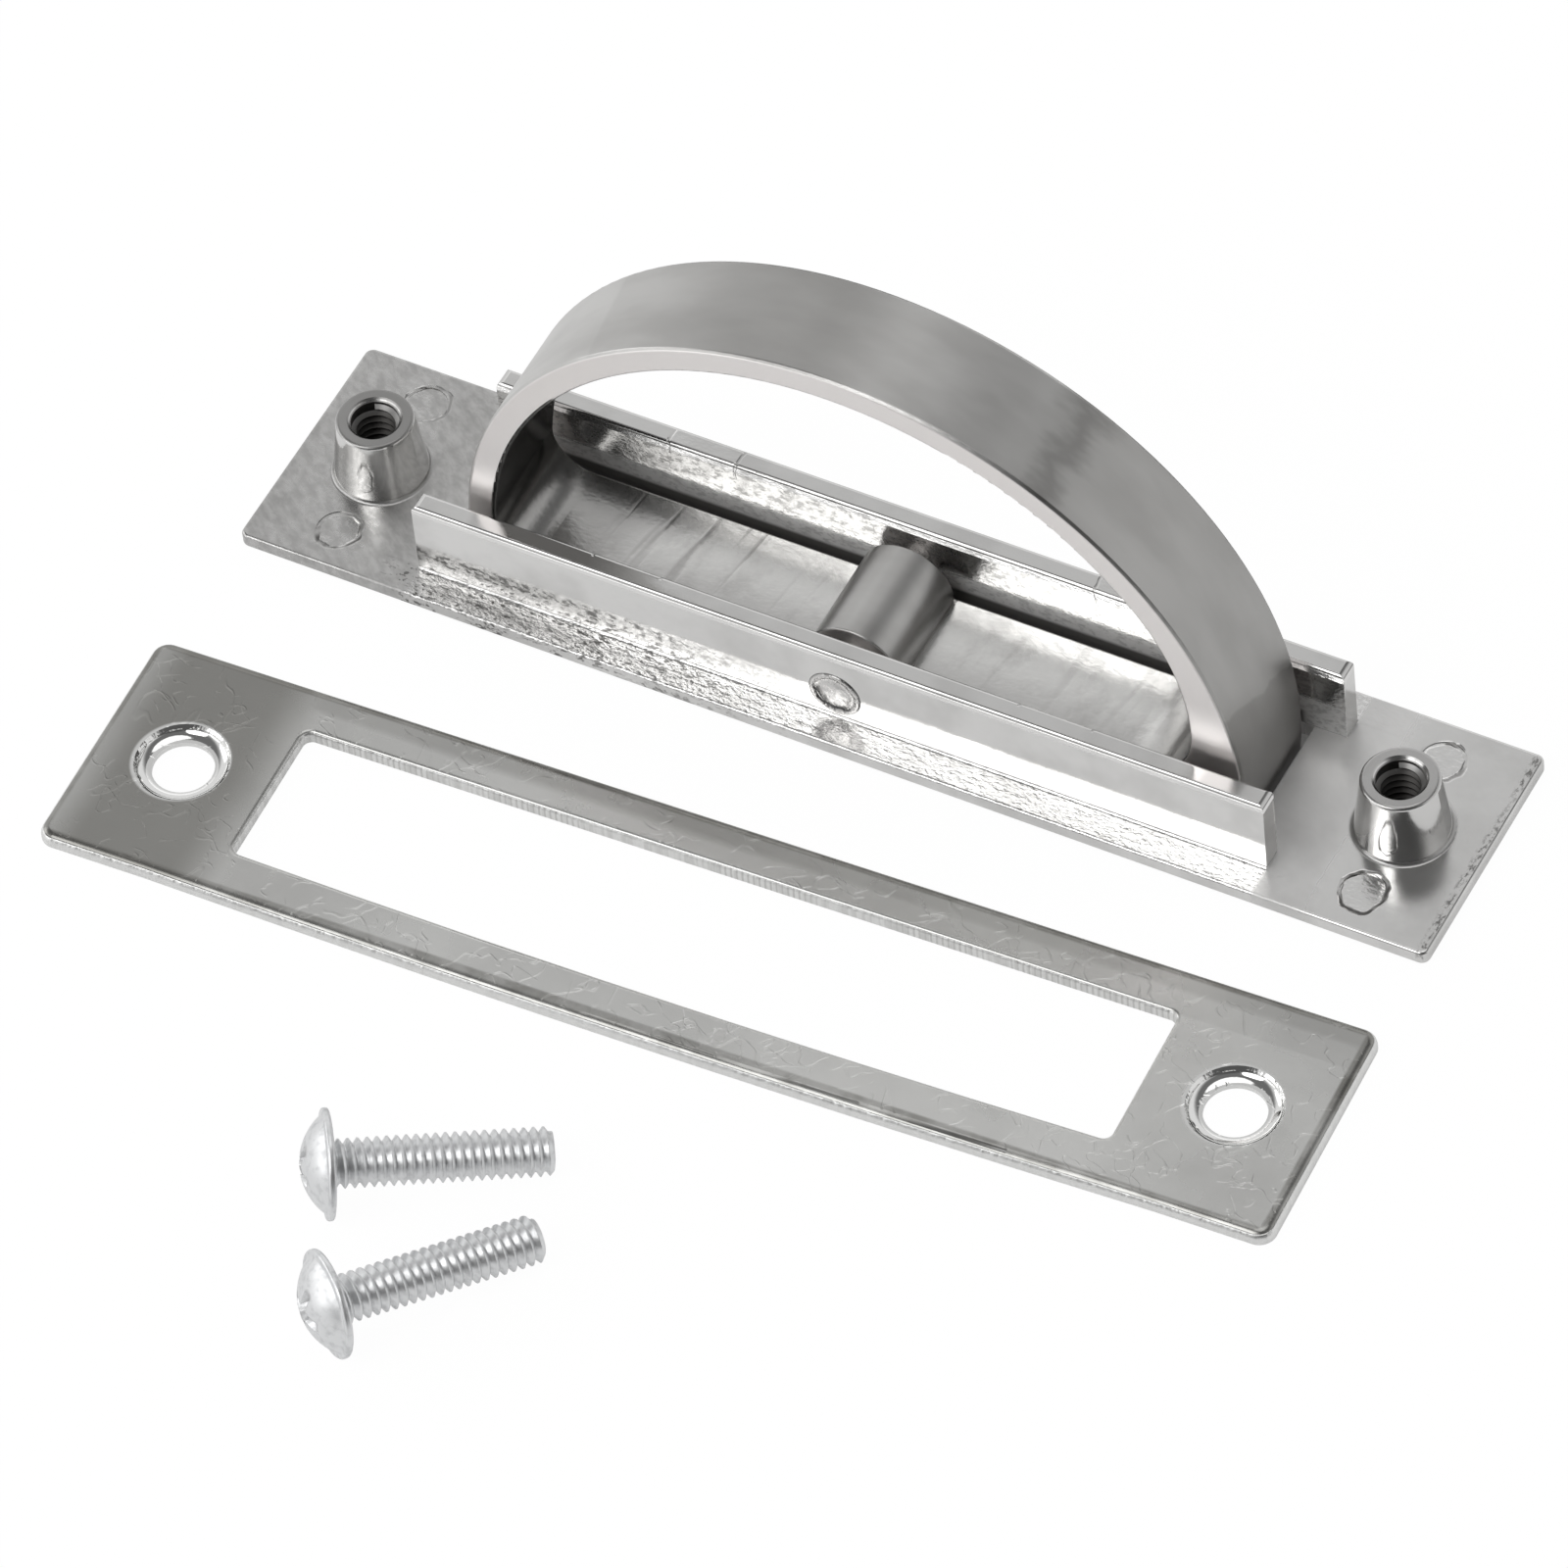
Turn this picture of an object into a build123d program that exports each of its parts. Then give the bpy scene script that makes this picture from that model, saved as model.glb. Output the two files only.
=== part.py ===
"""Recessed swing handle for a cupboard door, laid out with its back plate and two screws.

The front body is a die casting: a flat flange with two side walls and two tapped posts.
The swing handle is a second casting, a D-shaped loop with a flat tray as its chord, and it
turns on a riveted pin between the walls. Swung one way the tray closes the opening flush
with the flange, swung half a turn the bow stands out in front to be pulled. A stamped
back plate goes on the far side of the door, and two flange-head screws run through its
holes into the posts.

Frame, in millimetres: the origin is the middle of the flange's front face. X runs along
the flange, Y across it and Z from the front face into the door, so the handle lies here
on its front face with the bow upwards.
"""

from build123d import *
from math import atan2, cos, degrees, radians, sin, sqrt, tan
import os

# Swing handle
grip_outer_radius = 36.35
grip_thickness = 2.55
handle_width = 10.6
tray_thickness = 3.6
handle_edge_radius = 0.3
toe_fillet = 3.7
heel_start_angle = 36.6
heel_arc_offset = 11.45
heel_fillet = 7.0
barrel_radius = 4.2
barrel_side_step = 0.25
barrel_edge_radius = 0.2

# Pivot pin
pin_radius = 1.75
pin_running_gap = 0.05
rivet_radius = 2.45
rivet_depth = 0.7

# Front body
flange_end_margin = 7.6
flange_width = 23.0
flange_thickness = 1.4
flange_corner_radius = 0.8
flange_edge_radius = 0.3
side_gap = 1.18
end_gap = 0.5
wall_thickness = 2.07
wall_height = 7.8
wall_draft_angle = 0.6
wall_edge_radius = 0.35
wall_end_radius = 0.6
wall_foot_radius = 0.3
wall_past_window = 2.87
ejector_mark_radius = 2.0
ejector_mark_depth = 0.08
ejector_mark_offset = 7.6

# Tapped posts, at the usual spacing of cupboard handles
post_spacing = 96.0
post_base_radius = 4.15
post_top_radius = 3.35
post_height = 6.3
post_rim_radius = 0.35
post_root_radius = 0.4
tapped_hole_floor = 1.3
post_mouth_chamfer = 0.3

# Screws
thread_radius = 2.05
thread_clearance = 0.03
screw_length = 18.0
screw_point_chamfer = 0.4
head_flange_radius = 4.6
head_flange_thickness = 0.64
head_flange_edge_radius = 0.25
head_dome_radius = 4.05
head_dome_height = 1.95
head_dome_crown_radius = 5.3
head_blend_radius = 0.3
recess_wing_width = 0.95
recess_span = 4.4
recess_depth = 1.7
recess_overcut = 0.5
recess_taper_angle = 26.0

# Back plate
back_plate_end_margin = 8.05
back_plate_width = 22.9
back_plate_thickness = 1.2
back_plate_corner_radius = 1.5
back_plate_edge_radius = 0.85
back_plate_window_end_gap = 0.18
back_plate_window_side_gap = 0.37
back_plate_window_radius = 0.8
back_plate_window_edge_radius = 0.5
back_plate_bulge = 0.55
bulge_past_window = 6.0
screw_hole_gap = 0.62
dimple_radius = 4.1
dimple_depth = 0.75
dimple_arc_radius = 1.6

# Where the loose pieces lie: the back plate in front of the flange, and the two screws in
# front of the back plate, each with its distance, its shift along X and its heading
back_plate_lie_gap = 10.33
back_plate_shift = 0.15
back_plate_heading = 2.15
screw_1_lie_gap = 24.23
screw_1_shift = -14.45
screw_1_heading = 34.8
screw_2_lie_gap = 36.43
screw_2_shift = -7.66
screw_2_heading = 52.4

# The barrel is flush with the front face, so the pin lies one barrel radius above it
pin_height = barrel_radius
wall_inner = handle_width / 2 + side_gap
wall_outer = wall_inner + wall_thickness
wall_top = flange_thickness + wall_height
wall_half_length = grip_outer_radius + end_gap + wall_past_window
post_top = flange_thickness + post_height
tapped_radius = thread_radius + thread_clearance
tapped_depth = post_top - tapped_hole_floor
screw_hole_radius = thread_radius + screw_hole_gap
flange_length = post_spacing + 2 * flange_end_margin
back_plate_length = post_spacing + 2 * back_plate_end_margin
back_plate_window_length = 2 * (wall_half_length + back_plate_window_end_gap)
back_plate_window_width = 2 * (wall_inner + back_plate_window_side_gap)
back_plate_y = -(flange_width / 2 + back_plate_lie_gap + back_plate_width / 2)
back_plate_near_side = back_plate_y - back_plate_width / 2

# A little more than any piece, for cutters that must pass right through
through = 200.0


def xz_solid(face, width):
    """Extrude a face drawn with X along the flange and Y up into a solid centred on Y = 0."""
    upright = Plane.XZ * face
    return extrude(upright, amount=width / 2, both=True)


def y_cylinder(radius, length):
    """A cylinder on the pin's axis, centred on Y = 0."""
    return Pos(0, 0, pin_height) * Rot(X=90) * Cylinder(radius, length)


def wall_face_at(base, height):
    """How far a drafted outer wall face stands from the middle at a height above the floor."""
    return base - (height - flange_thickness) * tan(radians(wall_draft_angle))


def grip_opening():
    """The space inside the loop: a bow, a tight corner at the toe and a thick heel."""
    inner = grip_outer_radius - grip_thickness
    start = radians(heel_start_angle)
    heel_arc_radius = inner - heel_arc_offset
    heel_centre_x = heel_arc_offset * cos(start)
    heel_centre_z = pin_height + heel_arc_offset * sin(start)
    heel_from = (inner * cos(start), pin_height + inner * sin(start))
    heel_side = (heel_centre_x + heel_arc_radius, heel_centre_z)
    half_start = start / 2
    heel_middle = (
        heel_centre_x + heel_arc_radius * cos(half_start),
        heel_centre_z + heel_arc_radius * sin(half_start),
    )
    drop = pin_height - tray_thickness
    toe_x = -sqrt(inner**2 - drop**2)
    toe = (toe_x, tray_thickness)
    crown = (0, pin_height + inner)
    crown_angle = (radians(90) + start) / 2
    crown_middle = (inner * cos(crown_angle), pin_height + inner * sin(crown_angle))
    toe_middle = (-inner * cos(radians(45)), pin_height + inner * sin(radians(45)))
    heel_foot = (heel_side[0], tray_thickness)
    outline = Curve() + [
        ThreePointArc(toe, toe_middle, crown),
        ThreePointArc(crown, crown_middle, heel_from),
        ThreePointArc(heel_from, heel_middle, heel_side),
        Line(heel_side, heel_foot),
        Line(heel_foot, toe),
    ]
    face = make_face(outline)
    corners = face.vertices().filter_by_position(Axis.Y, tray_thickness - 0.01, tray_thickness + 0.01)
    heel_corner = corners.sort_by(Axis.X)[-1]
    face = fillet(heel_corner, heel_fillet)
    corners = face.vertices().filter_by_position(Axis.Y, tray_thickness - 0.01, tray_thickness + 0.01)
    toe_corner = corners.sort_by(Axis.X)[0]
    return fillet(toe_corner, toe_fillet)


def handle_profile():
    """The loop seen from the side: a disc cut off flush with the front face, less the opening."""
    disc = Pos(0, pin_height) * Circle(grip_outer_radius)
    above_front = Pos(0, through / 2) * Rectangle(through, through)
    return (disc & above_front) - grip_opening()


def handle_barrel():
    """The round boss across the tray, only its part above the tray's middle."""
    barrel = y_cylinder(barrel_radius, handle_width - 2 * barrel_side_step)
    barrel = fillet(barrel.edges(), barrel_edge_radius)
    above_tray = Pos(0, 0, tray_thickness / 2 + through / 2) * Box(through, through, through)
    return barrel & above_tray


def swing_handle():
    """The loop with its tray, and the barrel that runs on the pin."""
    loop = xz_solid(handle_profile(), handle_width)
    loop = fillet(loop.edges().filter_by(Axis.Y, reverse=True), handle_edge_radius)
    pin_bore = y_cylinder(pin_radius + pin_running_gap, through)
    return loop + handle_barrel() - pin_bore


def pivot_pin():
    """A plain pin whose ends are riveted into the walls' countersinks, flush with their faces."""
    half_length = wall_face_at(wall_outer, pin_height)
    pin = y_cylinder(pin_radius, 2 * half_length)
    for side in (-1, 1):
        pin += rivet_end(side * half_length, side)
    return pin


def rivet_end(face_y, side):
    """The spread end of the pin: a cone with its wide end on the wall's outer face."""
    cone = Cone(pin_radius, rivet_radius, rivet_depth)
    turned = Rot(X=-90 * side) * cone
    return Pos(0, face_y - side * rivet_depth / 2, pin_height) * turned


def flange():
    """The front plate, with softened edges where it shows on the door."""
    outline = RectangleRounded(flange_length, flange_width, flange_corner_radius)
    plate = extrude(outline, amount=flange_thickness)
    rims = plate.edges().filter_by(Axis.Z, reverse=True)
    return fillet(rims, flange_edge_radius)


def wall_section():
    """One wall cut across, on the +Y side: drafted faces, a rounded top and a blended foot."""
    lean = wall_height * tan(radians(wall_draft_angle))
    corners = [
        (wall_inner, flange_thickness / 2),
        (wall_inner, flange_thickness),
        (wall_inner + lean, wall_top),
        (wall_outer - lean, wall_top),
        (wall_outer, flange_thickness),
        (wall_outer + wall_foot_radius, flange_thickness),
        (wall_outer + wall_foot_radius, flange_thickness / 2),
    ]
    section = make_face(Polyline(*corners, close=True))
    foot = section.vertices().sort_by_distance((wall_outer, flange_thickness))[0]
    section = fillet(foot, wall_foot_radius * 0.9)
    top_corners = section.vertices().group_by(Axis.Y)[-1]
    return fillet(top_corners, wall_edge_radius)


def wall_side_view():
    """A wall seen from the side, with its top corners rounded."""
    side = Rectangle(2 * wall_half_length, wall_top, align=(Align.CENTER, Align.MIN))
    top_corners = side.vertices().group_by(Axis.Y)[-1]
    return fillet(top_corners, wall_end_radius)


def side_wall():
    """The wall on the +Y side: its section run along the flange, its ends cut to the side view."""
    run = extrude(Plane.YZ * wall_section(), amount=wall_half_length, both=True)
    return run & xz_solid(wall_side_view(), through)


def window():
    """What the flange is cut by: as wide as the walls stand apart, with ends round the pin."""
    sweep = y_cylinder(grip_outer_radius + end_gap, through)
    return sweep & Box(through, 2 * wall_inner, 2 * flange_thickness)


def screw_post():
    """A tapered post with a blended foot and a rounded rim, standing on the flange."""
    outline = Polyline(
        (0, 0),
        (post_base_radius + post_root_radius, 0),
        (post_base_radius + post_root_radius, flange_thickness),
        (post_base_radius, flange_thickness),
        (post_top_radius, post_top),
        (0, post_top),
        close=True,
    )
    half = make_face(outline)
    rim = half.vertices().sort_by_distance((post_top_radius, post_top))[0]
    half = fillet(rim, post_rim_radius)
    root = half.vertices().sort_by_distance((post_base_radius, flange_thickness))[0]
    half = fillet(root, post_root_radius * 0.9)
    return revolve(Plane.XZ * half, Axis.Z)


def tapped_hole():
    """The blind hole of a post, as wide as its thread is deep, with a bevelled mouth."""
    hole = Pos(0, 0, post_top - tapped_depth / 2) * Cylinder(tapped_radius, tapped_depth)
    bevel = Cone(tapped_radius, tapped_radius + post_mouth_chamfer, post_mouth_chamfer)
    return hole + Pos(0, 0, post_top - post_mouth_chamfer / 2) * bevel


def ejector_marks():
    """Shallow round marks that the mould's pins left beside each post."""
    mark = Cylinder(ejector_mark_radius, 2 * ejector_mark_depth)
    return [
        Pos(x, y, flange_thickness) * mark
        for x in (-post_spacing / 2, post_spacing / 2)
        for y in (-ejector_mark_offset, ejector_mark_offset)
    ]


def front_body():
    """The front casting: flange, side walls and tapped posts, bored for the riveted pin."""
    body = flange() - window()
    wall = side_wall()
    body = body + wall + mirror(wall, Plane.XZ)
    for x in (-post_spacing / 2, post_spacing / 2):
        body += Pos(x, 0, 0) * screw_post()
        body -= Pos(x, 0, 0) * tapped_hole()
    for mark in ejector_marks():
        body -= mark
    return body - pivot_pin()


def back_plate_outline():
    """The back plate from above: its near long side bows out a little beside the window."""
    half_length = back_plate_length / 2
    half_width = back_plate_width / 2
    bulge_from = back_plate_window_length / 2 + bulge_past_window
    outline = Curve() + [
        Polyline(
            (bulge_from, -half_width),
            (half_length, -half_width),
            (half_length, half_width),
            (-half_length, half_width),
            (-half_length, -half_width),
            (-bulge_from, -half_width),
        ),
        ThreePointArc(
            (-bulge_from, -half_width),
            (0, -half_width - back_plate_bulge),
            (bulge_from, -half_width),
        ),
    ]
    face = make_face(outline)
    ends = face.vertices().group_by(Axis.X)
    return fillet(ends[0] + ends[-1], back_plate_corner_radius)


def back_plate_window():
    """The window from above, with the same bow along its near side."""
    half_length = back_plate_window_length / 2
    half_width = back_plate_window_width / 2
    outline = Curve() + [
        Polyline(
            (half_length, -half_width),
            (half_length, half_width),
            (-half_length, half_width),
            (-half_length, -half_width),
        ),
        ThreePointArc(
            (-half_length, -half_width),
            (0, -half_width - back_plate_bulge),
            (half_length, -half_width),
        ),
    ]
    face = make_face(outline)
    return fillet(face.vertices(), back_plate_window_radius)


def dimple():
    """The pressed seat of a screw head: a rounded funnel down to the screw hole."""
    top = back_plate_thickness
    outline = Curve() + [
        Polyline(
            (screw_hole_radius, top - dimple_depth),
            (0, top - dimple_depth),
            (0, top),
            (dimple_radius, top),
        ),
        RadiusArc(
            (dimple_radius, top),
            (screw_hole_radius, top - dimple_depth),
            dimple_arc_radius,
        ),
    ]
    return revolve(Plane.XZ * make_face(outline), Axis.Z)


def back_plate():
    """The stamped plate for the far side of the door, lying beside the body."""
    plate = extrude(back_plate_outline(), amount=back_plate_thickness)
    plate = fillet(plate.faces().sort_by(Axis.Z)[-1].edges(), back_plate_edge_radius)
    plate -= extrude(back_plate_window(), amount=through, both=True)
    window_rim = plate.faces().sort_by(Axis.Z)[-1].inner_wires()[0]
    plate = fillet(window_rim.edges(), back_plate_window_edge_radius)
    for x in (-post_spacing / 2, post_spacing / 2):
        plate -= Pos(x, 0, 0) * Cylinder(screw_hole_radius, through)
        plate -= Pos(x, 0, 0) * dimple()
    return Pos(back_plate_shift, back_plate_y, 0) * Rot(Z=back_plate_heading) * plate


def screw_outline():
    """Half of a screw cut along its axis, drawn with its length as Y and its point at the top."""
    dome_base = -head_flange_thickness
    crown = dome_base - head_dome_height
    outline = Curve() + [
        Polyline(
            (0, crown),
            (0, screw_length),
            (thread_radius - screw_point_chamfer, screw_length),
            (thread_radius, screw_length - screw_point_chamfer),
            (thread_radius, 0),
            (head_flange_radius, 0),
            (head_flange_radius, dome_base),
            (head_dome_radius, dome_base),
        ),
        RadiusArc((head_dome_radius, dome_base), (0, crown), head_dome_crown_radius),
    ]
    half = make_face(outline)
    rim = half.vertices().group_by(Axis.X)[-1]
    half = fillet(rim, head_flange_edge_radius)
    blend = half.vertices().sort_by_distance((head_dome_radius, dome_base))[0]
    return fillet(blend, head_blend_radius)


def cross_recess():
    """The cross-shaped driver recess: two crossed bars, tapered to the depth of the bit."""
    crown = -head_flange_thickness - head_dome_height
    slope = tan(radians(recess_taper_angle))
    height = recess_depth + recess_overcut
    mouth_radius = recess_span / 2 + recess_overcut * slope
    floor_radius = recess_span / 2 - recess_depth * slope
    taper = Cone(mouth_radius, floor_radius, height)
    taper = Pos(0, 0, crown + recess_depth - height / 2) * taper
    bar = Box(through, recess_wing_width, through)
    return taper & (bar + Rot(Z=90) * bar)


def fixing_screw(shift, lie_gap, heading):
    """A flange-head screw on its side: it lies on the rim of its head and its point."""
    screw = revolve(Plane.XZ * screw_outline(), Axis.Z) - cross_recess()
    tilt = degrees(atan2(head_flange_radius - thread_radius, screw_length))
    laid = Rot(Z=heading) * Rot(Y=90 + tilt) * screw
    return Pos(shift, back_plate_near_side - lie_gap, -laid.bounding_box().min.Z) * laid


def pieces():
    """Every piece by its name."""
    return {
        "front_body": front_body(),
        "swing_handle": swing_handle(),
        "pivot_pin": pivot_pin(),
        "back_plate": back_plate(),
        "fixing_screw_1": fixing_screw(screw_1_shift, screw_1_lie_gap, screw_1_heading),
        "fixing_screw_2": fixing_screw(screw_2_shift, screw_2_lie_gap, screw_2_heading),
    }


if __name__ == "__main__":
    os.makedirs("parts", exist_ok=True)
    for name, solid in pieces().items():
        export_step(solid, f"parts/{name}.step")
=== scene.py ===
"""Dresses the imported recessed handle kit: front body, swing handle, pin, back plate and two screws.

Lengths are in metres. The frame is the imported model's own: the flange's front face lies on z = 0,
X runs along the body, Y runs across it and the posts stand up along Z.
"""

import logging
import math
from dataclasses import dataclass
from enum import Enum

import bmesh
import bpy
from mathutils import Matrix, Vector, noise


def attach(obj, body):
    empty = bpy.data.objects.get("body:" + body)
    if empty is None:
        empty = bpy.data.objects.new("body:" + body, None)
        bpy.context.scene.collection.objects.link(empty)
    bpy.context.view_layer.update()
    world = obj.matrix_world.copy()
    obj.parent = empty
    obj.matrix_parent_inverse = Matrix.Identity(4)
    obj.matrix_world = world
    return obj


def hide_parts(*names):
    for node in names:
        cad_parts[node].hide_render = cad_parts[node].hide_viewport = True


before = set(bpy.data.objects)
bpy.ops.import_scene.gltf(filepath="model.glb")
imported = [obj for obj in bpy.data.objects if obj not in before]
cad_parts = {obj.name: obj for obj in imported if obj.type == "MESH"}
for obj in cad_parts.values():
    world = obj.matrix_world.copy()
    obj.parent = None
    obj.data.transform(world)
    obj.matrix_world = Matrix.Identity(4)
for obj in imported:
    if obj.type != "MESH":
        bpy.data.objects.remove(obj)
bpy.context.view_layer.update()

MM = 0.001
LOG = logging.getLogger("recessed_handle")
Triple = tuple[float, float, float]
Colour = tuple[float, float, float]
Pair = tuple[float, float]
Socket = bpy.types.NodeSocket
WELD = 0.001 * MM
WHITE = (1.0, 1.0, 1.0, 1.0)
NOWHERE = (0.0, 0.0, 0.0)


class Body(Enum):
    """The body of the record that the added pieces ride on."""

    STILL = "body"


class Node(Enum):
    """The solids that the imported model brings."""

    FRONT_BODY = "front_body"
    SWING_HANDLE = "swing_handle"
    PIVOT_PIN = "pivot_pin"
    BACK_PLATE = "back_plate"
    SCREW_1 = "fixing_screw_1"
    SCREW_2 = "fixing_screw_2"


class Slot(Enum):
    """The material slots of the record, which also name the materials."""

    BRIGHT_CASTING = "bright_casting"
    SATIN_CASTING = "satin_casting"
    PIN_STEEL = "pin_steel"
    STAMPED_PLATE = "stamped_plate"
    ZINC_SCREW = "zinc_screw"


class Nodes:
    """A node tree, with short calls for the nodes that the materials and the surround share."""

    def __init__(self, tree: bpy.types.NodeTree) -> None:
        """Takes the tree that the nodes go into.

        Args:
            tree: The tree.
        """
        self.tree = tree

    def add(self, kind: str, **settings: object) -> bpy.types.Node:
        """Adds a node.

        Args:
            kind: Blender's name of the node type.
            settings: Attributes to set on the node.

        Returns:
            The new node.
        """
        node = self.tree.nodes.new(kind)
        for name, value in settings.items():
            setattr(node, name, value)
        return node

    def feed(self, socket: Socket, value: object) -> None:
        """Links a socket to another node's output, or sets it to a constant.

        Args:
            socket: The input to feed.
            value: An output socket, a number or a tuple.
        """
        if isinstance(value, Socket):
            self.tree.links.new(value, socket)
        else:
            socket.default_value = value

    def span(
        self,
        value: Socket,
        start: float,
        end: float,
        low: float = 0.0,
        high: float = 1.0,
        kind: str = "SMOOTHSTEP",
    ) -> Socket:
        """Maps a range onto another.

        Args:
            value: What is mapped.
            start: The value that gives low.
            end: The value that gives high.
            low: The result at start.
            high: The result at end.
            kind: How it runs between the two, with soft ends unless it says otherwise.

        Returns:
            The mapped value.
        """
        node = self.add("ShaderNodeMapRange", interpolation_type=kind)
        self.feed(node.inputs["Value"], value)
        node.inputs["From Min"].default_value = start
        node.inputs["From Max"].default_value = end
        node.inputs["To Min"].default_value = low
        node.inputs["To Max"].default_value = high
        return node.outputs["Result"]

    def ramp(self, value: Socket, start: float, end: float) -> Socket:
        """Maps a range onto 0 to 1 along a straight line."""
        return self.span(value, start, end, kind="LINEAR")

    def step(self, operation: str, first: object, second: object = 0.0) -> Socket:
        """Works out one sum.

        Args:
            operation: Blender's name of it.
            first: An output or a number.
            second: An output or a number.

        Returns:
            The result.
        """
        node = self.add("ShaderNodeMath", operation=operation)
        self.feed(node.inputs[0], first)
        self.feed(node.inputs[1], second)
        return node.outputs[0]

    def times(self, first: object, *others: object) -> Socket:
        """Multiplies values."""
        for other in others:
            first = self.step("MULTIPLY", first, other)
        return first

    def plus(self, first: object, *others: object) -> Socket:
        """Adds values up."""
        for other in others:
            first = self.step("ADD", first, other)
        return first

    def most(self, first: object, *others: object) -> Socket:
        """Takes the largest of the values."""
        for other in others:
            first = self.step("MAXIMUM", first, other)
        return first

    def minus(self, first: object, second: object) -> Socket:
        """Takes the second value from the first."""
        return self.step("SUBTRACT", first, second)

    def rest(self, share: Socket) -> Socket:
        """Gives what a share leaves over from 1."""
        return self.minus(1.0, share)

    def size(self, value: Socket) -> Socket:
        """Drops a value's sign."""
        return self.step("ABSOLUTE", value)

    def gap(self, value: Socket, place: float) -> Socket:
        """Gives how far a value is from a place."""
        return self.size(self.minus(value, place))

    def reach(self, x: Socket, y: Socket) -> Socket:
        """Gives the distance from the middle of two axes."""
        return self.step("SQRT", self.plus(self.times(x, x), self.times(y, y)))

    def length(self, vector: Socket) -> Socket:
        """Gives a vector's length."""
        node = self.add("ShaderNodeVectorMath", operation="LENGTH")
        self.feed(node.inputs[0], vector)
        return node.outputs["Value"]

    def axes(self, vector: Socket) -> tuple[Socket, ...]:
        """Splits a vector into its three lengths."""
        node = self.add("ShaderNodeSeparateXYZ")
        self.feed(node.inputs[0], vector)
        return tuple(node.outputs)

    def show(
        self, output: str, share: Socket, first: bpy.types.Node, second: bpy.types.Node
    ) -> None:
        """Mixes two shaders into the tree's output.

        Args:
            output: The name of the output node.
            share: How much of the second shows.
            first: The first shader.
            second: The second shader.
        """
        mix = self.add("ShaderNodeMixShader")
        self.feed(mix.inputs[0], share)
        self.feed(mix.inputs[1], first.outputs[0])
        self.feed(mix.inputs[2], second.outputs[0])
        self.feed(self.tree.nodes[output].inputs["Surface"], mix.outputs[0])


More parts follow.
